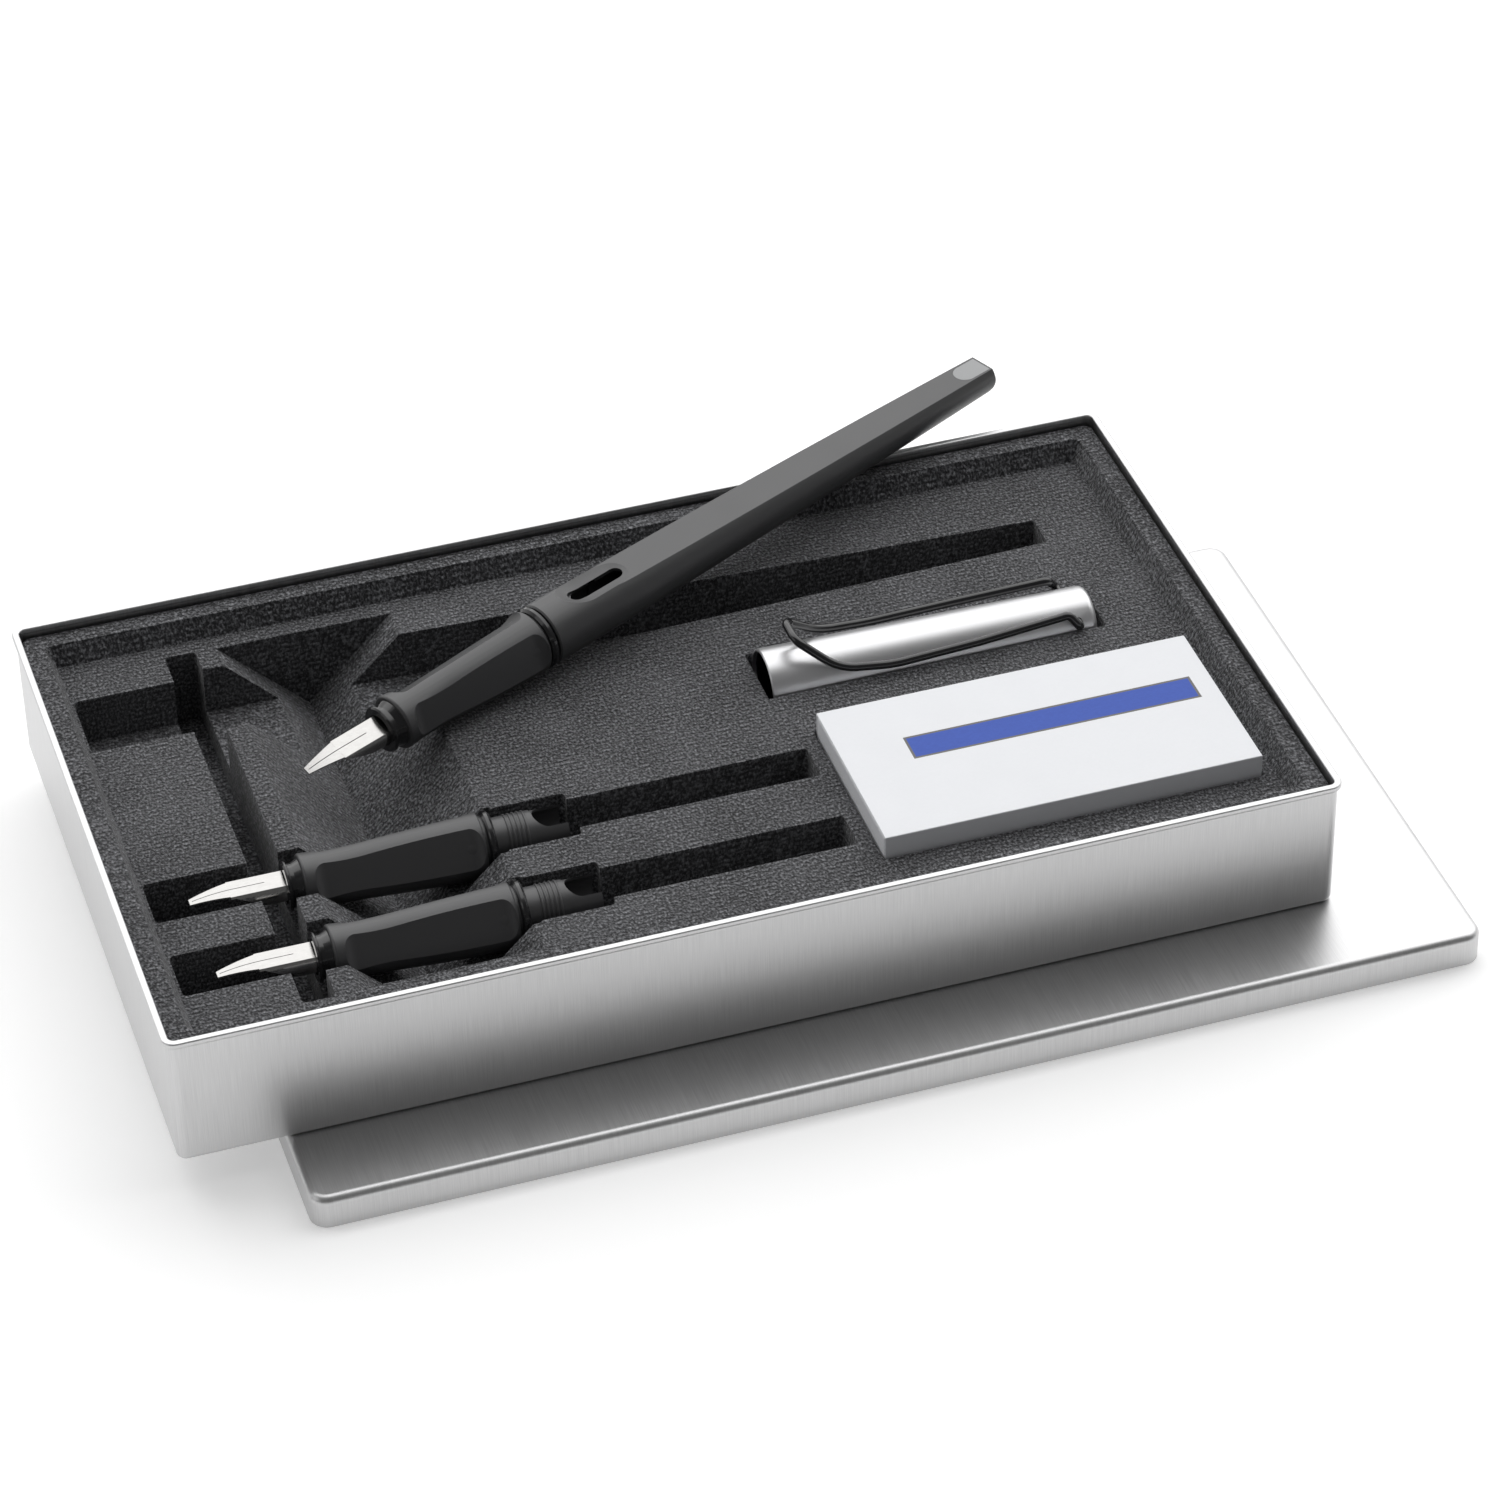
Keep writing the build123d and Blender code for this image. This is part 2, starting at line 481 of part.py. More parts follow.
def barrel():
    """Round barrel with a long top flat, a dished ink window and stepped bores."""
    x0 = BARREL_X0
    tail_x = x0 + BARREL_L
    half_r = barrel_radius(BARREL_L / 2)
    side = ThreePointArc((x0 + EDGE, GRIP_R), (x0 + BARREL_L / 2, half_r), (tail_x, BARREL_TAIL_R))
    rest = Polyline((tail_x, BARREL_TAIL_R), (tail_x, 0), (x0, 0), (x0, GRIP_R - EDGE), (x0 + EDGE, GRIP_R))
    body = revolve(Plane.XZ * make_face(side + rest), Axis.X)
    body -= facet_cutter()
    body -= dish()
    body -= tail_rounding()
    body -= Pos(x0 + WINDOW_X, 0, 0) * extrude(SlotOverall(WINDOW_L, WINDOW_W), amount=GRIP_R + 1)
    socket_x = GUARD_X + BORE_END_GAP
    wide_x = INK_X0 + INK_NECK_L + INK_BODY_L + BORE_END_GAP
    deep_x = INK_X0 + INK_L + BORE_END_GAP
    thread_x = THREAD_X1 + THREAD_GAP
    thread_r, socket_r = THREAD_CREST_R + THREAD_GAP, GUARD_R + THREAD_GAP
    wide_r, deep_r = INK_BODY_R + INK_GAP, INK_TAIL_R + INK_GAP
    body -= turned((x0 - 1, 0), (x0 - 1, thread_r), (thread_x, thread_r), (thread_x, socket_r), (socket_x, socket_r),
                   (socket_x, wide_r), (wide_x, wide_r), (wide_x, deep_r), (deep_x, deep_r), (deep_x, 0))
    return body - inlay(INLAY_FIT)


# ------------------------------------------------------------------ cap
def cap_radius(x):
    return CAP_R + (CAP_END_R - CAP_R) * x / CAP_L


def cap_tube():
    """Drawn metal cap, slightly tapered, with a hole each side for the clip and one for the finial."""
    shell = turned((0, 0), (0, CAP_R - 0.2), (0.2, CAP_R), (CAP_L, CAP_END_R), (CAP_L, 0))
    shell = fillet(shell.edges().group_by(Axis.X)[-1], CAP_END_FILLET)
    inner = cap_radius(CAP_L) - CAP_WALL
    shell -= turned((-1, 0), (-1, CAP_R - CAP_WALL), (CAP_L - 2 * CAP_WALL, inner - 0.3), (CAP_L - 2 * CAP_WALL, 0))
    shell -= turned((CAP_L - 5, 0), (CAP_L - 5, FINIAL_R + FINIAL_FIT), (CAP_L + 1, FINIAL_R + FINIAL_FIT), (CAP_L + 1, 0))
    return shell - clip_hole()


def clip_hole():
    hole = Rot(90, 0, 0) * Cylinder(CLIP_WIRE_R + CLIP_HOLE_GAP, 4 * CAP_R)
    return Pos(CLIP_HOLE_X, 0, CLIP_HOLE_Z) * hole


def cap_liner():
    """Plastic inner cap: a thin sleeve that ends in a closed nose short of the clip plug."""
    gap = LINER_FIT
    nose_x = CAP_L - 2 * CAP_WALL - PLUG_L - NOSE_GAP
    r0 = cap_radius(LINER_START) - CAP_WALL - gap
    r1 = cap_radius(nose_x) - CAP_WALL - 0.3 - gap
    sleeve = turned((LINER_START, 0), (LINER_START, r0), (nose_x, r1), (nose_x, 0))
    return sleeve - turned((0, 0), (0, r0 - LINER_WALL), (nose_x - 4, r1 - 3 * LINER_WALL), (nose_x - 1, NOSE_BORE_R),
                           (nose_x - 1, 0))


def cap_finial():
    """Black end button with the plug behind it that holds the two ends of the clip."""
    end = CAP_L - 2 * CAP_WALL
    plug_r = cap_radius(CAP_L) - CAP_WALL - 0.35
    solid = turned((end - PLUG_L, 0), (end - PLUG_L, plug_r), (end - 0.05, plug_r), (end - 0.05, FINIAL_R),
                   (CAP_L, FINIAL_R), (CAP_L + 0.8 * FINIAL_CROWN, FINIAL_R * 0.6),
                   (CAP_L + FINIAL_CROWN, 0))
    return solid - clip_hole()


def clip_path():
    """Centre line of the wire clip, from one hole along the cap, round the loop and back."""
    def beside(x, z, extra=0.0):
        reach = cap_radius(x) + CLIP_CLEAR + CLIP_WIRE_R + extra
        return (x, math.sqrt(reach ** 2 - z ** 2), z)

    half = [
        (CLIP_HOLE_X, 3.6, CLIP_HOLE_Z),
        beside(CLIP_HOLE_X, CLIP_HOLE_Z, 0.5),
        beside(CLIP_HOLE_X - 2.2, 6.0, 0.9),
        beside(0.62 * CAP_L, 4.9, 0.7),
        beside(0.36 * CAP_L, 4.2, 0.4),
        beside(0.20 * CAP_L, 5.3, 0.3),
        (CLIP_LOOP_X, CLIP_LOOP_HALF, CAP_R + CLIP_LOOP_RISE),
    ]
    radii = [0.9, 1.5, 30.0, 30.0, 12.0, CLIP_LOOP_R]
    far = [(x, -y, z) for x, y, z in reversed(half)]
    return FilletPolyline(*half, *far, radius=radii + radii[::-1])


def cap_clip():
    path = clip_path()
    start = Plane(origin=path @ 0, z_dir=path % 0)
    return sweep(start * Circle(CLIP_WIRE_R), path=path)


# ------------------------------------------------------------------ carton
def carton_sleeve():
    """Card tube, open at both ends, with its base centre at the origin."""
    outer = Pos(0, 0, CARTON_T / 2) * Box(CARTON_L, CARTON_W, CARTON_T)
    return outer - Pos(0, 0, CARTON_T / 2) * Box(CARTON_L + 2, CARTON_W - 2 * CARD, CARTON_T - 2 * CARD)


def carton_end():
    """Tuck-in end at the left of the carton: an end panel and the tongue under the cartridges."""
    slack = CARD_SLACK
    width, height = CARTON_W - 2 * (CARD + slack), CARTON_T - 2 * (CARD + slack)
    panel = Pos(CARD / 2, 0, height / 2) * Box(CARD, width, height)
    tongue = Pos(TONGUE_L / 2, 0, CARD / 2) * Box(TONGUE_L, width, CARD)
    return Pos(-CARTON_L / 2, 0, CARD + slack) * (panel + tongue)


def carton_cartridges():
    pitch = (CARTON_W - 2 * CARD) / CARTRIDGES
    z = 2 * (CARD + CARD_SLACK) + INK_BODY_R
    first = -pitch * (CARTRIDGES - 1) / 2
    return [Pos(-INK_L / 2, first + pitch * i, z) * cartridge() for i in range(CARTRIDGES)]


# ------------------------------------------------------------------ placing
def pen_place():
    """Lay the pen with its grip on the edge of the trough and its barrel on the back rim of the tin."""
    heading = math.radians(PEN_HEADING)
    edge_at = (TROUGH_X1 - PEN_RING_X) / math.cos(heading)
    rim_at = (TIN_W / 2 - RIM_R - PEN_RING_Y) / math.sin(heading)
    edge_z = DECK_Z + PEN_GAP + between(GRIP_STATIONS, BARREL_X0 + edge_at)
    rim_z = TIN_H + PEN_GAP + barrel_radius(rim_at)
    slope = (rim_z - edge_z) / (rim_at - edge_at)
    ring = Pos(PEN_RING_X, PEN_RING_Y, edge_z - slope * edge_at)
    turn = Rot(0, 0, PEN_HEADING) * Rot(0, -math.degrees(math.atan(slope)), 0) * Rot(PEN_ROLL, 0, 0)
    return ring * turn * Pos(-BARREL_X0, 0, 0)


def all_parts():
    parts = {"tin_lid": tin_lid(), "tin_base": tin_base(), "insert_tray": insert_tray()}
    place = pen_place()
    for name, solid in section().items():
        parts["pen_" + name] = place * Rot(SECTION_ROLL, 0, 0) * solid
    parts["pen_barrel"] = place * barrel()
    parts["pen_tail_inlay"] = place * inlay(0)
    for number, y in enumerate(SPARE_Y, 1):
        for name, solid in section().items():
            parts[f"spare_{number}_{name}"] = Pos(SPARE_GRIP_X, y, SPARE_Z) * solid
    cap_at = Pos(CAP_MOUTH_X, CAP_Y, CAP_Z)
    for name, solid in (("tube", cap_tube()), ("liner", cap_liner()), ("finial", cap_finial()), ("clip", cap_clip())):
        parts["cap_" + name] = cap_at * solid
    carton_at = Pos(CARTON_X, CARTON_Y, DECK_Z + CARTON_PROUD - CARTON_T)
    parts["carton_sleeve"] = carton_at * carton_sleeve()
    parts["carton_end_left"] = carton_at * carton_end()
    parts["carton_end_right"] = carton_at * Rot(0, 0, 180) * carton_end()
    for number, solid in enumerate(carton_cartridges(), 1):
        parts[f"ink_cartridge_{number}"] = carton_at * solid
    return parts


def main():
    os.makedirs("parts", exist_ok=True)
    parts = all_parts()
    box = Compound(children=[Compound(solid.wrapped) for solid in parts.values()]).bounding_box()
    centre = box.center()
    shift = Pos(-centre.X, -centre.Y, LID_H)
    print("tin centre lies at", round(-centre.X, 3), round(-centre.Y, 3), "from the origin")
    barrel_front = shift * pen_place() * Pos(BARREL_X0, 0, 0)
    print("pen barrel starts at", barrel_front.position, "and points along", Plane(barrel_front).x_dir)
    for name, solid in parts.items():
        export_step(shift * solid, f"parts/{name}.step")


main()
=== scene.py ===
# %% [markdown]
# # A calligraphy set in a flat tin
#
# The set is a drawn tin with a flocked insert. The insert holds a pen, its cap, two spare nib
# sections and a carton of ink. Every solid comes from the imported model, which is loaded as a
# fixed frame. This lesson gives each surface its finish, and makes what is too fine for a solid:
# the soft edges of the flocking, the threads, and the folds and print of the carton.

# %% Load the frame
import json
import math

import bmesh
import bpy
from mathutils import Matrix, Vector


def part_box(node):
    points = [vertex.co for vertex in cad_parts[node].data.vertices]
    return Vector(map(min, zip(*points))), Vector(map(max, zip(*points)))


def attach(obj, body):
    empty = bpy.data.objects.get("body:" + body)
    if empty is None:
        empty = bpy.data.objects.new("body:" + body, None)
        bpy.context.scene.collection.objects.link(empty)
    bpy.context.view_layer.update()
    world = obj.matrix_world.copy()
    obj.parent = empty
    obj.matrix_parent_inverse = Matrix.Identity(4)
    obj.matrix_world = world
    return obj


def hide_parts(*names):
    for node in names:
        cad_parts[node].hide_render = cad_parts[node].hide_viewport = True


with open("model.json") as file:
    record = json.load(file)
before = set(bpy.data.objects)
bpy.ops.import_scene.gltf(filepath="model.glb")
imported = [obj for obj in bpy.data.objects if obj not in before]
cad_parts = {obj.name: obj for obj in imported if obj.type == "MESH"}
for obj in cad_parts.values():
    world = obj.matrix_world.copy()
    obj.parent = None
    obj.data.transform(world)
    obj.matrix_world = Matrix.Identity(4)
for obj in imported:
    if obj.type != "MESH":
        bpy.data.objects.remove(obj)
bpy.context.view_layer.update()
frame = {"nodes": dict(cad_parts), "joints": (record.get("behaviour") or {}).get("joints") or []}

MM = 0.001
nodes = frame["nodes"]

# %% [markdown]
# Two helpers find things in the frame: the middle of a solid's box, and a joint by its name.
# Places in this lesson are worked out from them. The camera and the lamps stand off from the
# middle of the tin's foot, so they follow the tin if it ever moves.

# %% Middles and joints
def middle(node):
    low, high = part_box(node)
    return (low + high) / 2


def joint(name):
    return next(j for j in frame["joints"] if j["name"] == name)


tin_low, tin_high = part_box("tin_base")
TIN = Vector((middle("tin_base").x, middle("tin_base").y, tin_low.z))
print("the tin stands at", [round(v / MM, 1) for v in TIN], "mm and is",
      round((tin_high.x - tin_low.x) / MM, 1), "mm long")

# %% [markdown]
# The camera is a long lens about a metre away, a little to the left and looking down steeply.
# A long lens keeps the tin's sides nearly parallel. Its turn, tilt and roll are three angles,
# and its place is found by stepping back from the point it looks at.

# %% Camera
CAMERA_TURN = math.radians(-17.361)
CAMERA_TILT = math.radians(38.076)
CAMERA_ROLL = math.radians(-1.165)
CAMERA_AWAY = 1059.6 * MM
CAMERA_LENS = 129.62
LOOK_AT = TIN + Vector((22.067, 15.780, 0)) * MM


def camera_axes(turn, tilt, roll):
    """Right, up and back of a camera that looks at a point from that turn and tilt."""
    level = Vector((math.cos(turn), math.sin(turn), 0))
    back = Vector((math.sin(turn) * math.cos(tilt), -math.cos(turn) * math.cos(tilt), math.sin(tilt)))
    steep = back.cross(level)
    right = level * math.cos(roll) + steep * math.sin(roll)
    up = steep * math.cos(roll) - level * math.sin(roll)
    return right, up, back


right, up, back = camera_axes(CAMERA_TURN, CAMERA_TILT, CAMERA_ROLL)
lens = bpy.data.cameras.new("camera")
lens.lens = CAMERA_LENS
lens.sensor_fit = "HORIZONTAL"
lens.sensor_width = 36.0
lens.clip_end = 20.0
camera = bpy.data.objects.new("camera", lens)
stand = Matrix((right, up, back)).transposed().to_4x4()
camera.matrix_world = Matrix.Translation(LOOK_AT + back * CAMERA_AWAY) @ stand
bpy.context.scene.collection.objects.link(camera)
bpy.context.scene.camera = camera
print("camera at", [round(v, 3) for v in camera.matrix_world.translation])

# %% [markdown]
# Metal and black plastic show mostly what they reflect, so the light is planned first. One wide
# softbox stands behind the set and leans over it. Facets that face up catch it, walls that face
# the camera stay dark, and the pale floor fills the front of the tin from below. A second, weak
# lamp lifts the tin's left wall. All lengths here are in metres.

# %% Softbox and fill
BEHIND = Vector((-back.x, -back.y, 0)).normalized()
SOFTBOX_AT = TIN + BEHIND * 0.80 + Vector((0.1, 0, 1.25))
SOFTBOX_SIZE = (3.2, 2.0)
SOFTBOX_WATTS = 23
FILL_AT = TIN + Vector((-1.3, -0.2, 0.7))
FILL_SIZE = (0.8, 0.8)
FILL_WATTS = 1.5


def area_light(name, where, size, power):
    """A rectangular lamp that is turned towards the tin."""
    lamp = bpy.data.lights.new(name, "AREA")
    lamp.shape = "RECTANGLE"
    lamp.size, lamp.size_y = size
    lamp.energy = power
    made = bpy.data.objects.new(name, lamp)
    turn = (where - TIN).to_track_quat("Z", "Y").to_matrix().to_4x4()
    made.matrix_world = Matrix.Translation(where) @ turn
    bpy.context.scene.collection.objects.link(made)


area_light("back_softbox", SOFTBOX_AT, SOFTBOX_SIZE, SOFTBOX_WATTS)
area_light("left_fill", FILL_AT, FILL_SIZE, FILL_WATTS)
print("two lamps,", SOFTBOX_WATTS, "and", FILL_WATTS, "watts")

# %% [markdown]
# Shader maths is easier to read as sums than as boxes and strings. A Wire stands for one output
# of a node. Adding or multiplying wires adds the Math nodes, and numbers alone are worked out in
# Python before they reach the tree.

# %% Wires
class Wire:
    """One output socket. Sums and products of wires add their Math nodes."""

    def __init__(self, tree, socket):
        self.tree = tree
        self.socket = socket

    def join(self, operation, first, second):
        return self.tree.node("ShaderNodeMath", {"operation": operation}, {0: first, 1: second})

    def __add__(self, other):
        return self.join("ADD", self, other)

    __radd__ = __add__

    def __mul__(self, other):
        return self.join("MULTIPLY", self, other)

    __rmul__ = __mul__

    def __sub__(self, other):
        return self.join("SUBTRACT", self, other)

    def __rsub__(self, other):
        return self.join("SUBTRACT", other, self)

    def __truediv__(self, other):
        return self.join("DIVIDE", self, other)

    def __gt__(self, other):
        return self.join("GREATER_THAN", self, other)

    def __lt__(self, other):
        return self.join("LESS_THAN", self, other)

    def call(self, operation, other=0.0):
        """A Math node by its name, such as SINE, ABSOLUTE, FLOOR or MAXIMUM."""
        return self.join(operation, self, other)


print("wires add, multiply and compare")

# %% [markdown]
# Every node in this lesson comes from one method. It takes the node's type, its settings and the
# values or wires of its sockets, and gives back a wire from one of its outputs, or a list of
# wires when several outputs are named.

# %% Node trees
class Tree:
    """A node tree to build in. Any node comes from node()."""

    def __init__(self, tree):
        self.tree = tree

    def node(self, kind, settings=None, inputs=None, out=0):
        made = self.tree.nodes.new(kind)
        for key, value in (settings or {}).items():
            setattr(made, key, value)
        for key, value in (inputs or {}).items():
            self.feed(made.inputs[key], value)
        if not made.outputs:
            return made
        if isinstance(out, tuple):
            return [Wire(self, made.outputs[each]) for each in out]
        return Wire(self, made.outputs[out])

    def feed(self, socket, value):
        if isinstance(value, Wire):
            self.tree.links.new(value.socket, socket)
        else:
            socket.default_value = value


print("node trees ready")

# %% [markdown]
# Every material starts in the same way: a Principled shader with its fixed numbers on its own
# sockets, and object coordinates in millimetres to draw patterns with. Object coordinates stay
# with a piece when it moves, so its grain doesn't slide.

# %% Finishes
class Finish(Tree):
    """One material."""

    def __init__(self, name, colour, roughness, metallic=0.0, **fixed):
        self.material = bpy.data.materials.new(name)
        self.material.use_nodes = True
        super().__init__(self.material.node_tree)
        self.shader = self.tree.nodes["Principled BSDF"]
        self.set("Base Color", (*colour, 1))
        self.set("Roughness", roughness)
        self.set("Metallic", metallic)
        for name, value in fixed.items():
            self.set(name.replace("_", " ").title().replace("Ior", "IOR"), value)

    def set(self, socket, value):
        self.feed(self.shader.inputs[socket], value)

    def spot(self, size=(1, 1, 1)):
        """Object coordinates, one unit for each of these sizes in millimetres."""
        where = self.node("ShaderNodeTexCoord", out="Object")
        scale = tuple(1 / (MM * s) for s in size)
        return self.node("ShaderNodeVectorMath", {"operation": "MULTIPLY"}, {0: where, 1: scale})

    def axes(self):
        """The x, y and z of the object coordinates in millimetres, as three wires."""
        return self.node("ShaderNodeSeparateXYZ", {}, {0: self.spot()}, out=(0, 1, 2))

    def facing(self):
        """How far the surface faces along x, y and z, 0 to 1, as three wires."""
        normal = self.node("ShaderNodeNewGeometry", out="True Normal")
        split = self.node("ShaderNodeSeparateXYZ", {}, {0: normal}, out=(0, 1, 2))
        return [axis.call("ABSOLUTE") for axis in split]

    def noise(self, size, detail=2.0):
        """Noise, 0 to 1, with lumps of these sizes in millimetres along x, y and z."""
        return self.node("ShaderNodeTexNoise", {},
                         {"Vector": self.spot(size), "Scale": 1.0, "Detail": detail}, out="Fac")

    def blend(self, factor, first, second):
        """A colour between two colours, each a tuple or a wire."""
        ends = [end if isinstance(end, Wire) else (*end, 1) for end in (first, second)]
        return self.node("ShaderNodeMix", {"data_type": "RGBA"}, {0: factor, 6: ends[0], 7: ends[1]}, out=2)

    def bump(self, height, depth):
        """Raises the surface by height, 0 to 1, times a depth in millimetres."""
        self.set("Normal", self.node("ShaderNodeBump", {}, {"Height": height, "Distance": depth * MM}))


print("finishes can blend, bump and draw noise")

# %% [markdown]
# The world is white where the camera sees it, and dim where it only lights. The side that the
# camera stands on is dark, as a studio is, and that is what draws the dark lines under the tin's
# rolled rim and on the front of the lid. A smooth step leads from dark to bright across the sky.

# %% World
WORLD_BRIGHT = 0.95
WORLD_DARK = 0.14
SKY_STEP = (-0.35, 0.45)

world = bpy.data.worlds.new("studio")
bpy.context.scene.world = world
world.use_nodes = True
sky = Tree(world.node_tree)
looking = sky.node("ShaderNodeTexCoord", out="Generated")
towards = sky.node("ShaderNodeVectorMath", {"operation": "DOT_PRODUCT"}, {0: looking, 1: tuple(BEHIND)},
                   out="Value")
seen = sky.node("ShaderNodeLightPath", out="Is Camera Ray")
share = sky.node("ShaderNodeMapRange", {"interpolation_type": "SMOOTHSTEP"},
                 {0: towards, 1: SKY_STEP[0], 2: SKY_STEP[1], 3: WORLD_DARK, 4: WORLD_BRIGHT})
background = sky.tree.nodes["Background"]
sky.feed(background.inputs["Strength"], seen + (1 - seen) * share)
sky.feed(background.inputs["Color"], (1, 1, 1, 1))
print("world", WORLD_DARK, "to", WORLD_BRIGHT)

# %% [markdown]
# The floor is a wide pale sheet. It glows a little for the camera and for mirrors, so it reads
# as white and still takes the shadow. The glow doesn't light the set, because a ray that only
# lights is none of the three kinds that see it.

# %% Floor
FLOOR_HALF = 6.0
FLOOR_GREY = (0.86, 0.86, 0.86, 1)
FLOOR_GLOW = 0.32


def floor_paint():
    material = bpy.data.materials.new("floor_paint")
    material.use_nodes = True
    paint = Tree(material.node_tree)
    paint.tree.nodes.clear()
    straight, mirrored, through = paint.node(
        "ShaderNodeLightPath", out=("Is Camera Ray", "Is Glossy Ray", "Is Transmission Ray"))
    looked_at = (straight + mirrored + through).call("MINIMUM", 1.0)
    matt = paint.node("ShaderNodeBsdfDiffuse", {}, {"Color": FLOOR_GREY})
    glow = paint.node("ShaderNodeEmission", {}, {"Color": (1, 1, 1, 1), "Strength": looked_at * FLOOR_GLOW})
    both = paint.node("ShaderNodeAddShader", {}, {0: matt, 1: glow})
    paint.node("ShaderNodeOutputMaterial", {}, {"Surface": both})
    return material


floor_sheet = bpy.data.meshes.new("floor")
corners = [(x * FLOOR_HALF, y * FLOOR_HALF, 0) for x, y in ((-1, -1), (1, -1), (1, 1), (-1, 1))]
floor_sheet.from_pydata(corners, [], [(0, 1, 2, 3)])
floor_sheet.materials.append(floor_paint())
floor = bpy.data.objects.new("floor", floor_sheet)
bpy.context.scene.collection.objects.link(floor)
bpy.context.scene.view_settings.view_transform = "Standard"
print("floor", 2 * FLOOR_HALF, "m wide")

# %% [markdown]
# The tin and the lid are brushed steel. The grain could be a picture of scratches, but noise that
# is squeezed to hair lines has no seam and no end. It runs down the walls and from front to back
# over the lid. It moves the roughness, the colour and the surface itself: fine ridges smear a
# reflection across the grain, as brushed metal does.

# %% Brushed steel
HAIR = 0.16
HAIR_LENGTH = 9.0


def brushed_steel():
    metal = Finish("brushed_steel", (0.62, 0.62, 0.625), 0.3, metallic=1.0)
    end_wall = metal.facing()[0] > 0.7
    across_x = metal.noise((HAIR, HAIR_LENGTH, HAIR_LENGTH), detail=3)
    across_y = metal.noise((HAIR_LENGTH, HAIR, HAIR_LENGTH), detail=3)
    grain = across_x * (1 - end_wall) + across_y * end_wall
    cloud = metal.noise((30, 30, 30))
    metal.set("Base Color", metal.blend(grain, (0.50, 0.50, 0.505), (0.70, 0.70, 0.70)))
    metal.set("Roughness", 0.28 + 0.16 * grain + 0.06 * cloud)
    metal.bump(grain, 0.012)
    return metal.material


steel = brushed_steel()
print(steel.name, "with a grain of", HAIR, "mm")

# %% [markdown]
# The insert is a thin sheet covered in a fine charcoal knit. Close up it has rows of small loops
# with pale flecks where a fibre catches the light. Real loops would take millions of faces, so a
# pattern of sines makes the rows and loops, and noise makes the flecks. The same pattern bumps the
# surface and lightens the colour, so the loops' crowns and the flecks are painted highlights; a
# slow cloud adds uneven tone. On a wall the rows follow the height instead of the depth, so they
# don't smear into stripes.

# %% Charcoal knit
ROW = 1.15
STITCH = 0.55
FLECK = (0.55, 0.62, 0.62)


def charcoal_knit():
    cloth = Finish("charcoal_knit", (0.04, 0.04, 0.043), 0.95, sheen_weight=0.25, sheen_roughness=0.5,
                   specular_ior_level=0.2)
    x, y, z = cloth.axes()
    faces_x, faces_y, _ = cloth.facing()
    end_wall = faces_x > 0.8
    wall = end_wall.call("MAXIMUM", faces_y > 0.7)
    along = x * (1 - end_wall) + y * end_wall
    across = y * (1 - wall) + z * wall
    wobble = cloth.noise((2.5, 2.5, 2.5), detail=3)
    row = across / ROW + wobble * 1.1
    loop = along / STITCH + row.call("FLOOR") * 0.5 + wobble * 2.0
    rows = (row * (2 * math.pi)).call("SINE") * 0.5 + 0.5
    loops = (loop * (2 * math.pi)).call("SINE") * 0.5 + 0.5
    flecks = cloth.node("ShaderNodeMapRange", {},
                        {0: cloth.noise(FLECK, detail=4), 1: 0.38, 2: 0.68, 3: 0.0, 4: 1.0})
    cloud = cloth.noise((14, 14, 14), detail=3)
    height = rows * 0.08 + loops * rows * 0.22 + flecks * 0.80
    # Painted highlight: the colour is lighter where the loops and flecks stand high; the cloud adds uneven
    # tone.
    painted_light_and_tone = (height * height * 0.85 + (cloud - 0.5) * 0.25).call("MAXIMUM", 0.0)
    cloth.set("Base Color", cloth.blend(painted_light_and_tone, (0.022, 0.022, 0.024), (0.34, 0.345, 0.365)))
    cloth.bump(height, 0.28)
    return cloth.material


knit = charcoal_knit()
print(knit.name, "rows", ROW, "mm")

# %% [markdown]
# The pen is moulded in black plastic with a fine matt texture, which breaks up its highlights.
# The rings, the clip and the cap's plug are polished, so they have a thin coat and only a faint
# smear in their gloss. The feed under each nib is plain and duller.

# %% Black plastics
SPARK = 0.12


def matt_black():
    plastic = Finish("matt_black", (0.028, 0.028, 0.030), 0.42, specular_ior_level=0.8)
    spark = plastic.noise((SPARK, SPARK, SPARK))
    cloud = plastic.noise((9, 9, 9))
    plastic.set("Roughness", 0.36 + 0.08 * spark + 0.05 * cloud)
    plastic.set("Base Color", plastic.blend(spark, (0.028, 0.028, 0.030), (0.046, 0.046, 0.048)))
    plastic.bump(spark, 0.008)
    return plastic.material


def gloss_black(name, roughness):
    gloss = Finish(name, (0.010, 0.010, 0.011), roughness, coat_weight=0.3, coat_roughness=0.05)
    smear = gloss.noise((6, 6, 6), detail=3)
    gloss.set("Roughness", roughness + 0.07 * smear)
    return gloss.material


def dull_black():
    dull = Finish("feed_black", (0.014, 0.014, 0.015), 0.5)
    grain = dull.noise((0.3, 0.3, 0.3))
    dull.set("Roughness", 0.42 + 0.16 * grain)
    dull.bump(grain, 0.01)
    return dull.material


pen_black = matt_black()
ring_black = gloss_black("ring_black", 0.14)
clip_black = gloss_black("clip_enamel", 0.06)
feed_black = dull_black()
print("four black plastics")

# %% [markdown]
# The nibs are polished steel, drawn along their length, so their noise is stretched along x. The
# cap is pearl lacquer on metal: bright and soft, with a very fine flake. The inlay at the pen's
# tail is grey plastic.

# %% Nib steel, pearl lacquer and the grey inlay
def nib_steel():
    sheet = Finish("nib_steel", (0.80, 0.79, 0.77), 0.16, metallic=1.0)
    draw = sheet.noise((3.0, 0.10, 0.10), detail=3)
    spot = sheet.noise((1.2, 1.2, 1.2), detail=4)
    sheet.set("Base Color", sheet.blend(draw * 0.6 + spot * 0.4, (0.36, 0.355, 0.345), (0.52, 0.51, 0.50)))
    sheet.set("Roughness", 0.10 + 0.10 * draw + 0.08 * spot)
    sheet.bump(draw, 0.004)
    return sheet.material


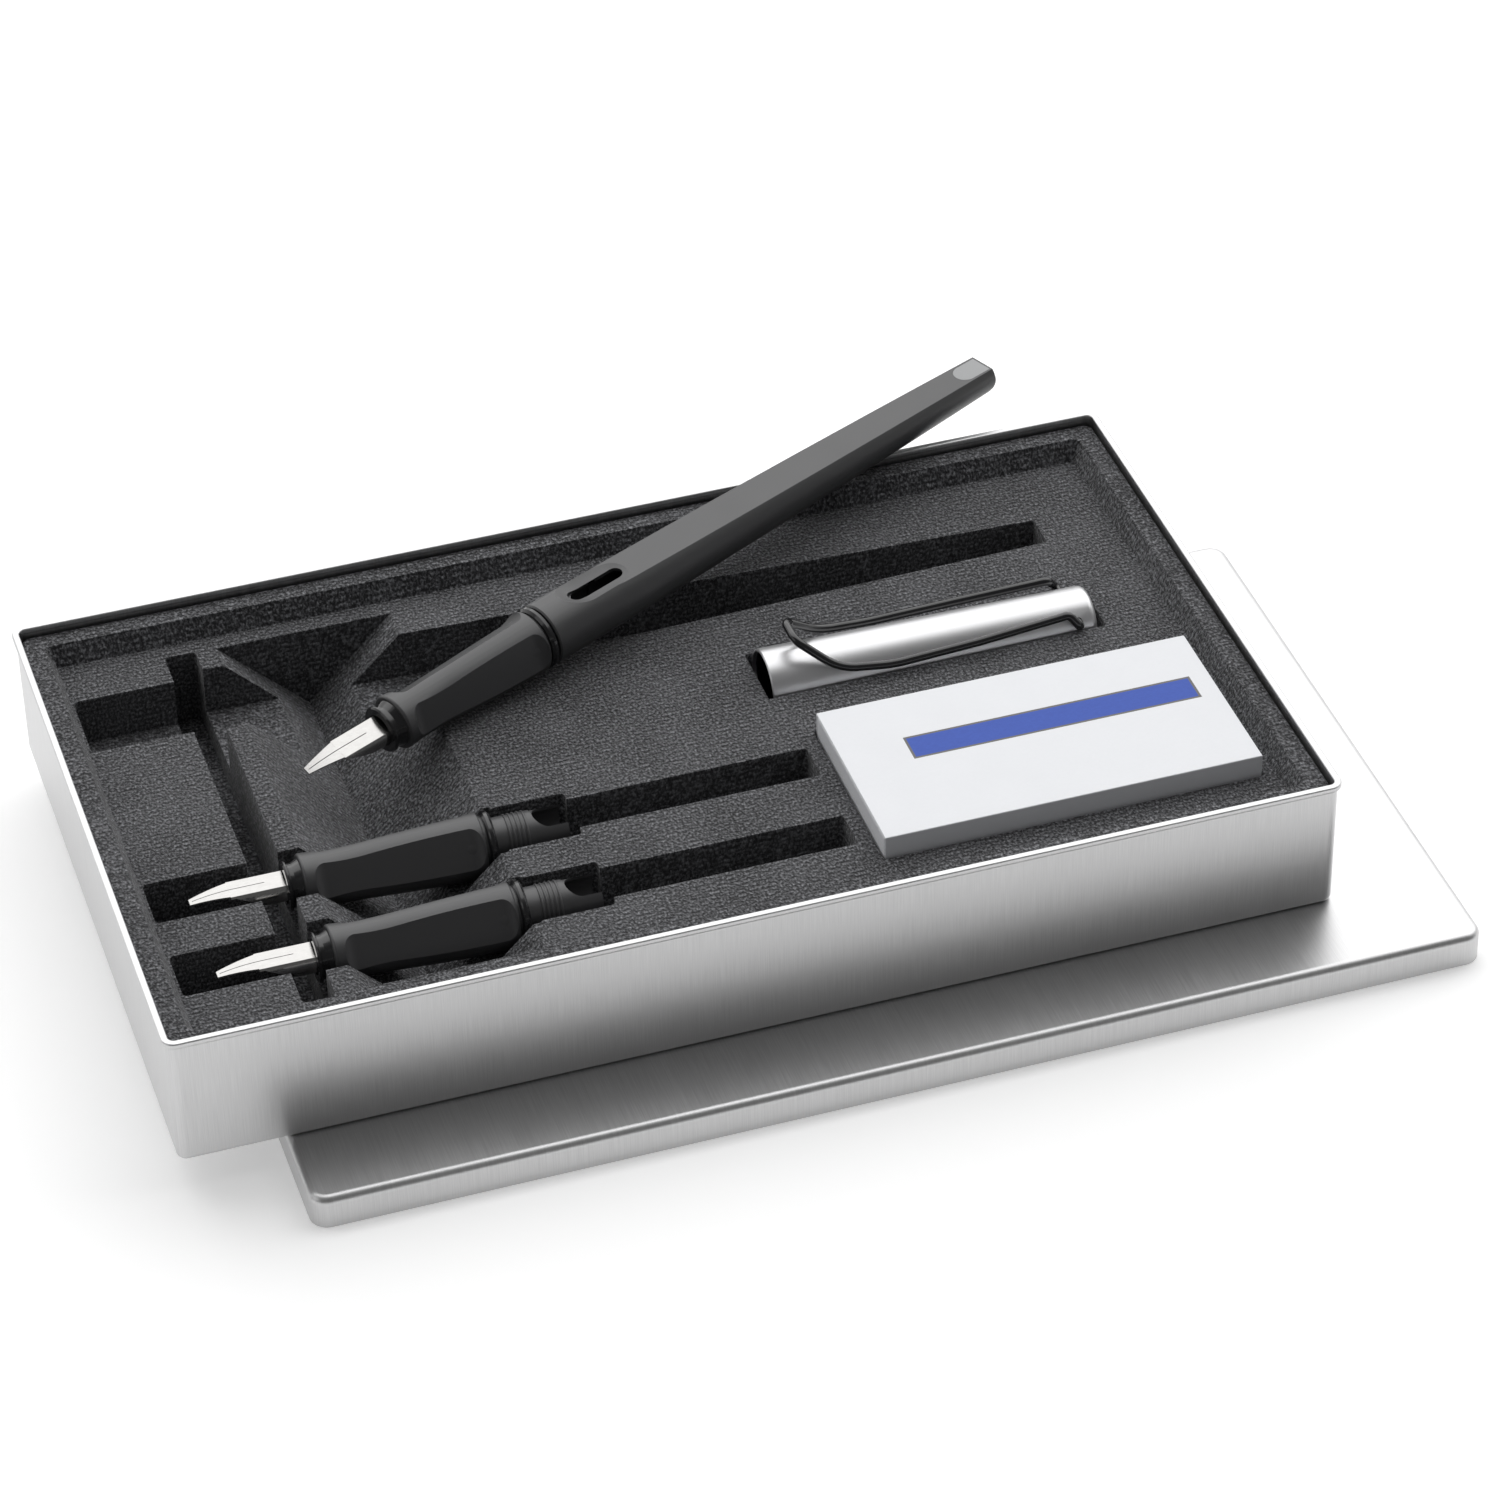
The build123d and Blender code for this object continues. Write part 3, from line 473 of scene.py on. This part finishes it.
def pearl_lacquer():
    lacquer = Finish("pearl_lacquer", (0.80, 0.80, 0.81), 0.34, metallic=0.85)
    flake = lacquer.noise((0.07, 0.07, 0.07), detail=1)
    haze = lacquer.noise((12, 5, 5))
    lacquer.set("Base Color", lacquer.blend(flake, (0.60, 0.60, 0.61), (0.74, 0.74, 0.75)))
    lacquer.set("Roughness", 0.30 + 0.06 * flake + 0.05 * haze)
    return lacquer.material


def inlay_grey():
    inlay = Finish("inlay_grey", (0.33, 0.34, 0.35), 0.4)
    spark = inlay.noise((SPARK, SPARK, SPARK))
    inlay.set("Base Color", inlay.blend(spark, (0.29, 0.295, 0.30), (0.38, 0.385, 0.39)))
    inlay.set("Roughness", 0.34 + 0.12 * spark)
    inlay.bump(spark, 0.006)
    return inlay.material


nib_metal = nib_steel()
pearl = pearl_lacquer()
grey = inlay_grey()
print("nib, cap and inlay finishes")

# %% [markdown]
# The carton is white coated card with a plain print: one long blue bar with a thin grey frame
# round it. The bar is drawn by distances from its middle, so its edge stays sharp at any size. A
# mask keeps the print off the carton's edges and ends, so it's on the top and the underside only.

# %% Printed card
BAR_AT = (4.5, 4.0)
BAR_HALF = (28.5, 2.9)
FRAME_WIDTH = 0.5


def printed_card():
    board = Finish("printed_card", (0.83, 0.84, 0.86), 0.5, specular_ior_level=0.25)
    x, y, _ = board.axes()
    centre = middle("carton_sleeve") / MM
    off_x = (x - (centre.x + BAR_AT[0])).call("ABSOLUTE") - BAR_HALF[0]
    off_y = (y - (centre.y + BAR_AT[1])).call("ABSOLUTE") - BAR_HALF[1]
    off = off_x.call("MAXIMUM", off_y)
    lies_flat = board.facing()[2] > 0.5
    fibre = board.noise((0.6, 0.4, 0.4), detail=4)
    mottle = board.noise((9, 9, 9), detail=3)
    white = board.blend(fibre * 0.5 + mottle * 0.5, (0.80, 0.81, 0.835), (0.87, 0.88, 0.905))
    blue = board.blend(fibre, (0.030, 0.075, 0.40), (0.050, 0.115, 0.50))
    framed = board.blend((off < FRAME_WIDTH) * lies_flat, white, (0.16, 0.155, 0.15))
    board.set("Base Color", board.blend((off < 0) * lies_flat, framed, blue))
    board.set("Roughness", 0.42 + 0.12 * fibre)
    board.bump(fibre, 0.01)
    return board.material


card = printed_card()
print(card.name, "with a bar", 2 * BAR_HALF[0], "mm long")

# %% [markdown]
# The ink cartridges lie inside the carton and are seen only when it is opened up. They are blue
# and glossy, with a slow swirl in the colour.

# %% Ink
def ink_blue():
    fluid = Finish("ink_blue", (0.02, 0.05, 0.40), 0.15, coat_weight=0.5)
    swirl = fluid.noise((5, 5, 5), detail=3)
    fluid.set("Base Color", fluid.blend(swirl, (0.012, 0.03, 0.30), (0.03, 0.08, 0.48)))
    return fluid.material


ink = ink_blue()
print(ink.name)

# %% [markdown]
# Now each solid takes its finish. Most keep their CAD shape and only change material. The insert
# and the carton are left out here, because softened copies stand for them further down.

# %% Finishes for the solids
SECTIONS = ("pen", "spare_1", "spare_2")
SECTION_FINISH = {
    "grip": pen_black, "collar": ring_black, "seal_ring": ring_black, "nib": nib_metal, "feed": feed_black,
}
FINISH = {
    "tin_base": steel, "tin_lid": steel, "pen_barrel": pen_black, "pen_tail_inlay": grey,
    "cap_tube": pearl, "cap_liner": ring_black, "cap_finial": ring_black, "cap_clip": clip_black,
}
for owner in SECTIONS:
    for part, material in SECTION_FINISH.items():
        FINISH[owner + "_" + part] = material
for name in nodes:
    if name.startswith("ink_cartridge"):
        FINISH[name] = ink


def paint_solid(piece, material):
    piece.data.materials.clear()
    piece.data.materials.append(material)


for name, material in FINISH.items():
    paint_solid(nodes[name], material)
print(len(FINISH), "solids painted")

# %% [markdown]
# A front section screws into the barrel, and on the spares the thread lies open behind the
# polished ring. A thread is a spiral with a small round section, so Geometry Nodes can make it
# from four numbers: a Spiral curve, swept by a circle. The same tree serves all three sections.

# %% Thread tree
THREAD_INPUTS = ("Radius", "Length", "Turns", "Wire")


def socket_id(tree, name):
    return next(s.identifier for s in tree.interface.items_tree if s.name == name and s.in_out == "INPUT")


def thread_tree(material):
    tree = bpy.data.node_groups.new("thread", "GeometryNodeTree")
    tree.interface.new_socket("Geometry", in_out="OUTPUT", socket_type="NodeSocketGeometry")
    for name in THREAD_INPUTS:
        tree.interface.new_socket(name, in_out="INPUT", socket_type="NodeSocketFloat")
    kit = Tree(tree)
    radius, length, turns, wire = kit.node("NodeGroupInput", out=THREAD_INPUTS)
    spiral = kit.node("GeometryNodeCurveSpiral", {}, {
        "Resolution": 40, "Rotations": turns, "Start Radius": radius, "End Radius": radius, "Height": length})
    section = kit.node("GeometryNodeCurvePrimitiveCircle", {}, {"Resolution": 8, "Radius": wire})
    swept = kit.node("GeometryNodeCurveToMesh", {},
                     {"Curve": spiral, "Profile Curve": section, "Fill Caps": True})
    real = kit.node("GeometryNodeRealizeInstances", {}, {"Geometry": swept})
    smooth = kit.node("GeometryNodeSetShadeSmooth", {}, {"Geometry": real})
    painted = kit.node("GeometryNodeSetMaterial", {}, {"Geometry": smooth, "Material": material})
    kit.node("NodeGroupOutput", {}, {"Geometry": painted})
    return tree


thread = thread_tree(pen_black)
print(thread.name, "with inputs", THREAD_INPUTS)

# %% [markdown]
# The tree runs as a modifier on an empty mesh, and the result is then kept as a plain mesh. Its
# spiral stands upright at the origin, so it is turned along the section and moved there. The
# ring's own middle gives the place. The unscrewing joint gives the direction for the pen, and
# both spares point along x. Lengths are in millimetres.

# %% Threads on the three necks
THREAD_ROOT = 4.47
THREAD_WIRE = 0.28
THREAD_TURNS = 5.0
THREAD_PITCH = 0.88
THREAD_FROM_RING = 3.1


def plain_mesh(piece):
    """Applies a piece's modifiers and leaves it with a plain mesh."""
    bpy.context.view_layer.update()
    graph = bpy.context.evaluated_depsgraph_get()
    piece.data = bpy.data.meshes.new_from_object(piece.evaluated_get(graph))
    piece.modifiers.clear()


def neck_place(owner, backwards):
    """Where a section's ring sits, with Z along the way back from the nib."""
    turn = backwards.to_track_quat("Z", "Y").to_matrix().to_4x4()
    return Matrix.Translation(middle(owner + "_seal_ring")) @ turn


def make_thread(owner, backwards, body):
    piece = bpy.data.objects.new(owner + "_thread", bpy.data.meshes.new(owner + "_thread"))
    bpy.context.scene.collection.objects.link(piece)
    modifier = piece.modifiers.new("thread", "NODES")
    modifier.node_group = thread
    sizes = (THREAD_ROOT * MM, THREAD_TURNS * THREAD_PITCH * MM, THREAD_TURNS, THREAD_WIRE * MM)
    for name, value in zip(THREAD_INPUTS, sizes):
        modifier[socket_id(thread, name)] = value
    plain_mesh(piece)
    piece.data.transform(neck_place(owner, backwards) @ Matrix.Translation((0, 0, THREAD_FROM_RING * MM)))
    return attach(piece, body)


unscrew = Vector(joint("section_unscrew")["axis"])
threads = [make_thread("pen", -unscrew, "pen_section")]
threads += [make_thread(owner, Vector((1, 0, 0)), owner) for owner in SECTIONS[1:]]
print([len(t.data.polygons) for t in threads], "faces in the threads")

# %% [markdown]
# Solids from a CAD model arrive as loose triangles with crisp edges. Real edges are never that
# crisp, and the small round along them catches a line of light. This helper makes a merged copy
# of a solid, gives its edges a small bevel and smooths the rest, and the copy stands for the
# solid from then on. Weighted normals keep the large flat faces looking flat beside the bevel.

# %% Soften a solid
MERGE = 0.002


def open_mesh(mesh):
    work = bmesh.new()
    work.from_mesh(mesh)
    return work


def close_mesh(work, mesh):
    work.to_mesh(mesh)
    work.free()


def merged_copy(node, name):
    mesh = nodes[node].data.copy()
    mesh.name = name
    piece = bpy.data.objects.new(name, mesh)
    bpy.context.scene.collection.objects.link(piece)
    work = open_mesh(mesh)
    bmesh.ops.remove_doubles(work, verts=work.verts, dist=MERGE * MM)
    close_mesh(work, mesh)
    if "custom_normal" in mesh.attributes:
        mesh.attributes.remove(mesh.attributes["custom_normal"])
    return piece


def soften(node, name, radius, steps, angle, flatten=2.0, first=None):
    """A merged, bevelled and smooth copy of a solid, which replaces it."""
    piece = merged_copy(node, name)
    work = open_mesh(piece.data)
    bmesh.ops.dissolve_limit(work, angle_limit=math.radians(flatten), verts=work.verts, edges=work.edges)
    close_mesh(work, piece.data)
    if first:
        first(piece)
    bevel = piece.modifiers.new("edge", "BEVEL")
    bevel.width = radius * MM
    bevel.segments = steps
    bevel.limit_method = "ANGLE"
    bevel.angle_limit = math.radians(angle)
    bevel.use_clamp_overlap = True
    plain_mesh(piece)
    for face in piece.data.polygons:
        face.use_smooth = True
    piece.data.set_sharp_from_angle(angle=math.radians(angle + 10))
    level = piece.modifiers.new("level", "WEIGHTED_NORMAL")
    level.keep_sharp = True
    plain_mesh(piece)
    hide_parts(node)
    return piece


print("softening ready")

# %% [markdown]
# The insert's knit is stretched over every edge, so its edges are round. Where two upright walls
# meet and stick out, the corner is rounder still, and gets its own round first. The bevel of all
# other edges follows.

# %% Flocked insert
EDGE_ROUND = 0.9
CORNER_ROUND = 1.8
CORNER_LEAST = math.radians(50)


def sticks_out_upright(edge):
    """An outer corner between two upright walls."""
    if len(edge.link_faces) != 2 or edge.calc_face_angle_signed(0) <= CORNER_LEAST:
        return False
    along = (edge.verts[0].co - edge.verts[1].co).normalized()
    return all(abs(face.normal.z) < 0.1 for face in edge.link_faces) and abs(along.z) > 0.9


def round_corners(piece):
    work = open_mesh(piece.data)
    upright = [edge for edge in work.edges if sticks_out_upright(edge)]
    bmesh.ops.bevel(work, geom=upright, offset=CORNER_ROUND * MM, segments=4, profile=0.5, affect="EDGES",
                    clamp_overlap=True)
    close_mesh(work, piece.data)
    print("upright edges rounded:", len(upright))


insert = soften("insert_tray", "flocked_insert", EDGE_ROUND, steps=3, angle=35, flatten=1.0,
                first=round_corners)
paint_solid(insert, knit)
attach(insert, "insert")
print("insert has", len(insert.data.polygons), "faces")

# %% [markdown]
# Card doesn't fold to a knife edge. The sleeve and its two tuck-in ends get small rounds, which
# also draw the fine lines where the ends tuck in.

# %% Folded carton
FOLD_ROUND = 0.22

for part in ("sleeve", "end_left", "end_right"):
    piece = soften("carton_" + part, "card_" + part, FOLD_ROUND, steps=2, angle=40)
    paint_solid(piece, card)
    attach(piece, "carton")
print("carton folded")

# %% [markdown]

# %% End
print("done")
